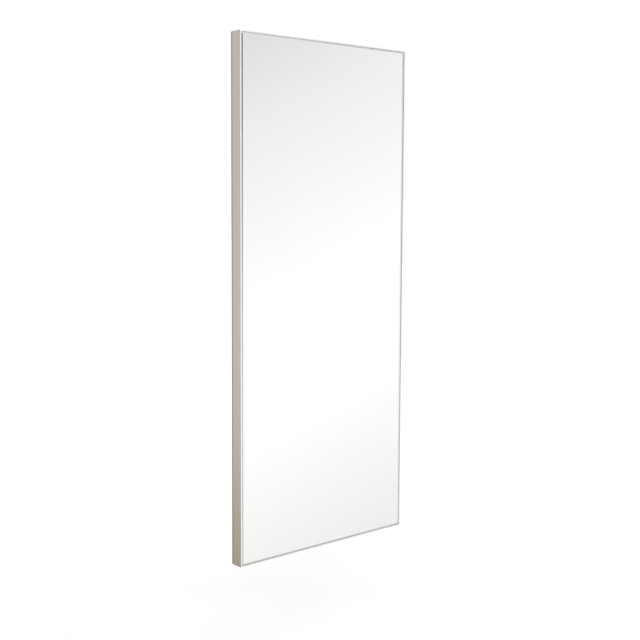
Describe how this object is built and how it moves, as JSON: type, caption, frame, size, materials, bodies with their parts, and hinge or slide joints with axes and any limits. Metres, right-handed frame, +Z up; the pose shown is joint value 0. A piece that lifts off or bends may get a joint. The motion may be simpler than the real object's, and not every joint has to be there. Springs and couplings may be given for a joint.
{
  "type": "wall mirror",
  "caption": "Tall rectangular wall mirror: bevelled silvered glass in a deep satin metal frame with a thin front rim, a hardboard back, and D-rings that swing for hanging it either way up.",
  "frame": {"origin": "middle of the wall plane behind the mirror, on which the four rubber bumpers stand", "axes": "+Z up, +X to the right as seen from the front, +Y towards the wall; the glass faces -Y"},
  "size_m": [0.6, 0.05, 1.4],
  "materials": {
    "frame_metal": "satin anodised champagne silver, brushed along the rails",
    "cast_aluminium": "plain die cast",
    "zinc_steel": "bright zinc plated",
    "zinc_wire": "bright zinc plated wire",
    "spring_steel": "tempered strip",
    "mirror_glass": "polished float glass with a narrow bevel",
    "silvering": "silver, seen through the glass; grey paint and film behind",
    "foam_tape": "matt closed-cell foam",
    "hardboard": "smooth pressed hardboard",
    "bumper_rubber": "matt moulded rubber"
  },
  "bodies": {
    "frame": {"frame_rail_left": "frame_metal", "frame_rail_top": "frame_metal", "frame_rail_right": "frame_metal", "frame_rail_bottom": "frame_metal", "corner_key_top_left": "cast_aluminium", "corner_key_top_right": "cast_aluminium", "corner_key_bottom_right": "cast_aluminium", "corner_key_bottom_left": "cast_aluminium", "corner_screws": "zinc_steel", "mirror_glass": "mirror_glass", "mirror_silvering": "silvering", "mounting_tape_left": "foam_tape", "mounting_tape_top": "foam_tape", "mounting_tape_right": "foam_tape", "mounting_tape_bottom": "foam_tape", "back_panel": "hardboard", "panel_springs": "spring_steel", "hanger_strap_left": "zinc_steel", "hanger_strap_top": "zinc_steel", "hanger_strap_right": "zinc_steel", "hanger_strap_bottom": "zinc_steel", "hanger_screws": "zinc_steel", "wall_bumper_top_left": "bumper_rubber", "wall_bumper_top_right": "bumper_rubber", "wall_bumper_bottom_right": "bumper_rubber", "wall_bumper_bottom_left": "bumper_rubber"},
    "ring_left": {"hanger_ring_left": "zinc_wire"},
    "ring_top": {"hanger_ring_top": "zinc_wire"},
    "ring_right": {"hanger_ring_right": "zinc_wire"},
    "ring_bottom": {"hanger_ring_bottom": "zinc_wire"}
  },
  "joints": [
    {"name": "ring_left_swing", "type": "hinge", "parent": "frame", "child": "ring_left", "pos_m": [-0.284, -0.0033, 0.4], "axis": [1, 0, 0], "range_deg": [0, 180]},
    {"name": "ring_top_swing", "type": "hinge", "parent": "frame", "child": "ring_top", "pos_m": [-0.15, -0.0033, 0.684], "axis": [0, 0, 1], "range_deg": [0, 180]},
    {"name": "ring_right_swing", "type": "hinge", "parent": "frame", "child": "ring_right", "pos_m": [0.284, -0.0033, 0.4], "axis": [1, 0, 0], "range_deg": [0, 180]},
    {"name": "ring_bottom_swing", "type": "hinge", "parent": "frame", "child": "ring_bottom", "pos_m": [-0.15, -0.0033, -0.684], "axis": [0, 0, 1], "range_deg": [0, 180]}
  ]
}
